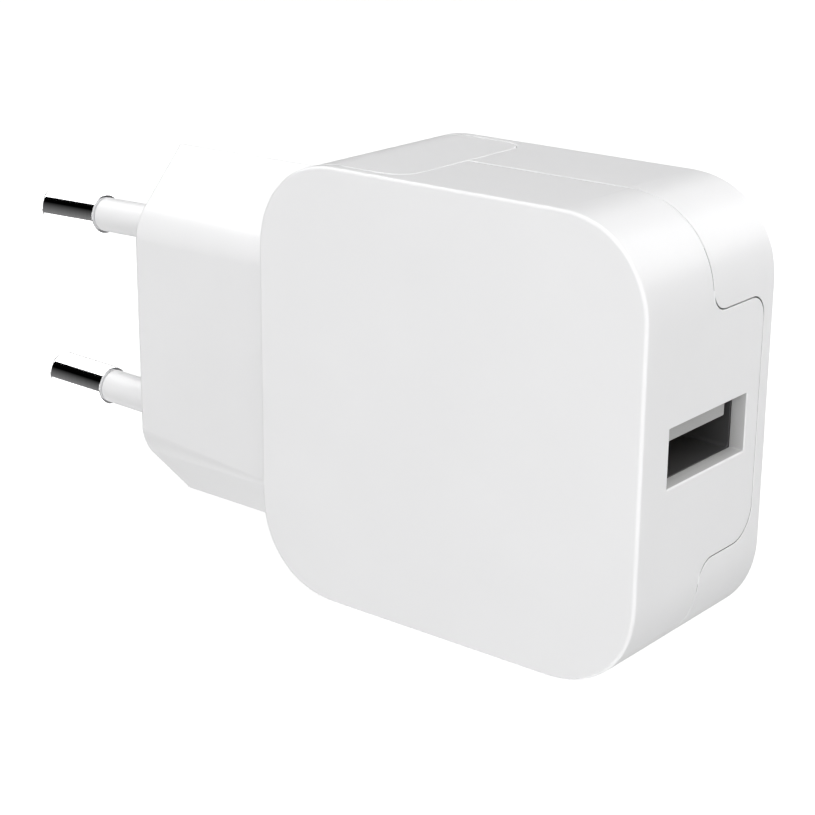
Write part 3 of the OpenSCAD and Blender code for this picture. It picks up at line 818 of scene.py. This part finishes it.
# ---------------------------------------------------------------- chips
def make_chip(node, x, z, size_x, size_z, height, leg_count, leg_width):
    """A moulded chip with bent legs along two sides. Sizes are in millimetres."""
    centre = board_place(x, z)
    body = bmesh.new()
    half = Vector((size_x / 2, 0, size_z / 2)) * MM
    box_into(body, centre - half + Vector((0, 0.15 * MM, 0)),
             centre + half + Vector((0, height * MM, 0)), 0.12 * MM, 2)
    legs = bmesh.new()
    thickness = 0.16 * MM
    foot_y = BOARD_TOP + thickness / 2 + 0.02 * MM
    middle_y = BOARD_TOP + (height * 0.5 + 0.1) * MM
    pitch = size_x / leg_count
    for side in (-1, 1):
        flank = size_z / 2
        path = [(middle_y, flank - 0.15), (middle_y, flank + 0.12), (middle_y - 0.1 * MM, flank + 0.25),
                (foot_y + 0.1 * MM, flank + 0.3), (foot_y, flank + 0.42), (foot_y, flank + 0.69)]
        path = [(y, centre.z + side * out * MM) for y, out in path]
        for i in range(leg_count):
            leg_x = centre.x + (pitch * (i + 0.5) - size_x / 2) * MM
            strip(legs, path, thickness, leg_x - leg_width * MM / 2, leg_x + leg_width * MM / 2)
    new_piece(node + "_piece", body, "black_plastic", "case", [node])
    new_piece(node + "_legs", legs, "spring_steel", sharp=50)


make_chip("bridge_rectifier", 17.9, 4.6, 4.6, 3.8, 2.4, 2, 0.7)
make_chip("controller_chip", 23.3, 5.6, 4.9, 3.6, 1.5, 4, 0.45)
make_chip("optocoupler", 19.3, -0.3, 6.4, 3.4, 3.3, 2, 1.1)
make_chip("output_diode", 30.3, 5.9, 4.4, 2.2, 2.1, 1, 1.6)


def make_chip_components():
    """Small ceramic parts with a metal cap on each end."""
    spots = [(12.3, 14.4), (12.3, 16.2), (22.45, 17), (22.45, 8.9), (27.1, 7.4), (37.3, 5.4),
             (11.3, -14.6), (11.3, -13), (36.3, 16.2), (32.3, 14.6)]
    bodies, caps = bmesh.new(), bmesh.new()
    for x, z in spots:
        centre = board_place(x, z)
        box_into(bodies, centre + Vector((-0.68, 0.06, -0.57)) * MM,
                 centre + Vector((0.68, 0.66, 0.57)) * MM, 0.04 * MM)
        for side in (-1, 1):
            ends = sorted((side * 0.62, side * 1.0))
            box_into(caps, centre + Vector((ends[0], 0.02, -0.6)) * MM,
                     centre + Vector((ends[1], 0.7, 0.6)) * MM, 0.06 * MM)
    new_piece("chip_components_piece", bodies, "chip_ceramic", "case", ["chip_components"])
    new_piece("chip_components_caps", caps, "spring_steel")


def make_solder():
    """Solder domes on the back of the main board, one for each lead."""
    mesh = bmesh.new()
    for x, z in SOLDER_SPOTS:
        foot = board_place(x, z)
        foot.y = BOARD_BACK
        profile = [(-0.02 * MM, 0), (-0.02 * MM, 0.75 * MM), (0, 0.75 * MM), (0.05 * MM, 0.6 * MM),
                   (0.1 * MM, 0.4 * MM), (0.14 * MM, 0.2 * MM), (0.15 * MM, 0)]
        turned(mesh, profile, foot, (0, -1, 0), 20)
    new_piece("solder_domes", mesh, "spring_steel", sharp=60)


make_chip_components()
make_solder()


# ---------------------------------------------------------------- stage, light and camera
# the room's grey just over the floor, for diffuse light and for reflections
LOW_GREY = 0.12
GLOSSY_GREY = 0.32
# the white of the room's floor, and the glow of the disc that the case stands on
FLOOR_WHITE = 1.05
FLOOR_GLOW = 0.85
# heights on the unit sphere between which the grey grows, and from which it is white
GREY_FROM_Z = 0.29
GREY_TO_Z = -0.68
WHITE_FROM_Z = -0.74


def make_floor():
    """A pale floor that the case stands on. It can be seen through from below."""
    mesh = bmesh.new()
    bmesh.ops.create_circle(mesh, cap_ends=True, segments=96, radius=3)
    for vert in mesh.verts:
        vert.co.z = FLOOR_Z
    floor = make_object("floor", mesh)
    material, nodes, links, shader = new_material("floor_white")
    shader.inputs["Base Color"].default_value = (0.3, 0.3, 0.3, 1)
    shader.inputs["Specular IOR Level"].default_value = 0
    shader.inputs["Roughness"].default_value = 0.8
    shader.inputs["Emission Color"].default_value = (1, 1, 1, 1)
    shader.inputs["Emission Strength"].default_value = FLOOR_GLOW
    clear = nodes.new("ShaderNodeBsdfTransparent")
    mix = nodes.new("ShaderNodeMixShader")
    geometry = nodes.new("ShaderNodeNewGeometry")
    links.new(geometry.outputs["Backfacing"], mix.inputs["Fac"])
    links.new(shader.outputs["BSDF"], mix.inputs[1])
    links.new(clear.outputs["BSDF"], mix.inputs[2])
    links.new(mix.outputs["Shader"], nodes["Material Output"].inputs["Surface"])
    floor.data.materials.append(material)
    floor.visible_diffuse = False
    floor.visible_glossy = False
    floor.visible_shadow = False


LIGHT_DISTANCE = 0.6
LIGHT_SIZE = 0.4
# name: azimuth, elevation and power of each soft light, as seen from the case
LIGHTS = {
    "front_low": (0, -5, 1.82),
    "front_right": (30, 30, 0.72),
    "right_low": (60, -5, 0.27),
    "right_high": (60, 55, 0.98),
    "right_side": (90, -5, 1.41),
    "overhead": (0, 75, 1.48),
    "left_high": (270, 40, 1.39),
    "right_back": (150, 30, 0.8),
    "back": (180, 0, 1.6),
    "back_high": (180, 40, 0.3),
}
# name: azimuth, elevation, power and size of each card that only the bare pins reflect
PIN_CARDS = {
    "card_above": (218, 30, 2.6, 0.62),
    "card_ahead": (270, 0, 0.4, 0.25),
    "card_below": (282, -53, 2.3, 0.58),
    "card_behind": (228, -37, 2.3, 0.58),
}


def direction(azimuth, elevation):
    """Unit vector; azimuth 0 is -Y and 90 is +X, in degrees."""
    azimuth, elevation = math.radians(azimuth), math.radians(elevation)
    level = math.cos(elevation)
    return Vector((math.sin(azimuth) * level, -math.cos(azimuth) * level, math.sin(elevation)))


def area_light(name, azimuth, elevation, power, size=LIGHT_SIZE):
    """A soft square light that shines on the case without being seen itself."""
    data = bpy.data.lights.new(name, "AREA")
    data.shape = "SQUARE"
    data.size = size
    data.energy = power
    light = bpy.data.objects.new(name, data)
    towards = direction(azimuth, elevation)
    light.location = CASE_CENTRE + towards * LIGHT_DISTANCE
    light.rotation_mode = "QUATERNION"
    light.rotation_quaternion = towards.to_track_quat("Z", "Y")
    light.visible_camera = False
    bpy.context.scene.collection.objects.link(light)
    return light


def make_lights(pins):
    """The room's soft lights, and the cards that put the white stretches on the bare pins."""
    for name, (azimuth, elevation, power) in LIGHTS.items():
        area_light(name, azimuth, elevation, power)
    lit = bpy.data.collections.new("pins_lit_by_cards")
    for pin in pins:
        lit.objects.link(pin)
    for name, (azimuth, elevation, power, size) in PIN_CARDS.items():
        card = area_light(name, azimuth, elevation, power, size)
        card.light_linking.receiver_collection = lit


def map_range(nodes, links, source, from_range, to_range):
    """Maps a value from one range onto another, clamped at both ends."""
    node = nodes.new("ShaderNodeMapRange")
    node.inputs["From Min"].default_value, node.inputs["From Max"].default_value = from_range
    node.inputs["To Min"].default_value, node.inputs["To Max"].default_value = to_range
    links.new(source, node.inputs["Value"])
    return node.outputs["Result"]


def make_world():
    """A dark room whose lower half brightens towards a white floor.

    Reflections see more of the grey under the horizon than the diffuse light does.
    """
    world = bpy.data.worlds.new("studio")
    bpy.context.scene.world = world
    world.use_nodes = True
    nodes, links = world.node_tree.nodes, world.node_tree.links
    background = nodes["Background"]
    coords = nodes.new("ShaderNodeTexCoord")
    split = nodes.new("ShaderNodeSeparateXYZ")
    links.new(coords.outputs["Generated"], split.inputs["Vector"])
    path = nodes.new("ShaderNodeLightPath")
    grey = nodes.new("ShaderNodeMapRange")
    grey.inputs["To Min"].default_value = LOW_GREY
    grey.inputs["To Max"].default_value = GLOSSY_GREY
    links.new(path.outputs["Is Glossy Ray"], grey.inputs["Value"])
    slope = map_range(nodes, links, split.outputs["Z"], (GREY_FROM_Z, GREY_TO_Z), (0.0, 1.0))
    low = nodes.new("ShaderNodeMath")
    low.operation = "MULTIPLY"
    links.new(slope, low.inputs[0])
    links.new(grey.outputs["Result"], low.inputs[1])
    floor = map_range(nodes, links, split.outputs["Z"], (GREY_TO_Z, WHITE_FROM_Z),
                      (0.0, FLOOR_WHITE))
    total = nodes.new("ShaderNodeMath")
    links.new(low.outputs["Value"], total.inputs[0])
    links.new(floor, total.inputs[1])
    seen = nodes.new("ShaderNodeMix")
    seen.data_type = "FLOAT"
    links.new(path.outputs["Is Camera Ray"], seen.inputs["Factor"])
    links.new(total.outputs["Value"], seen.inputs["A"])
    seen.inputs["B"].default_value = 1
    links.new(seen.outputs["Result"], background.inputs["Strength"])
    background.inputs["Color"].default_value = (1, 1, 1, 1)


make_floor()
make_world()
make_lights(bare_pins)

CAMERA_AZIMUTH = 38.61
CAMERA_ELEVATION = 18.6
CAMERA_ROLL = 0.47
CAMERA_DISTANCE = 184.7 * MM
CAMERA_SHIFT_RIGHT = -8.81 * MM
CAMERA_SHIFT_UP = -1.38 * MM
CAMERA_LENS = 90.74


def make_camera():
    """The camera, turned round the case's middle and moved a little across its own view."""
    azimuth, elevation = math.radians(CAMERA_AZIMUTH), math.radians(CAMERA_ELEVATION)
    back = Vector((math.sin(azimuth) * math.cos(elevation),
                   -math.cos(azimuth) * math.cos(elevation), math.sin(elevation)))
    right = (-back).cross(Vector((0, 0, 1))).normalized()
    up = right.cross(-back)
    roll = math.radians(CAMERA_ROLL)
    right, up = (right * math.cos(roll) + up * math.sin(roll),
                 up * math.cos(roll) - right * math.sin(roll))
    aim = Vector((CASE_LOW.x + 20.5 * MM, 0, CASE_CENTRE.z))
    data = bpy.data.cameras.new("camera")
    data.lens = CAMERA_LENS
    data.sensor_width = 36
    data.clip_start = 0.01
    data.clip_end = 20
    camera = bpy.data.objects.new("camera", data)
    place = aim + back * CAMERA_DISTANCE + right * CAMERA_SHIFT_RIGHT + up * CAMERA_SHIFT_UP
    turn = Matrix((right, up, back)).transposed()
    camera.matrix_world = Matrix.Translation(place) @ turn.to_4x4()
    bpy.context.scene.collection.objects.link(camera)
    bpy.context.scene.camera = camera


make_camera()
bpy.context.scene.view_settings.view_transform = "Standard"
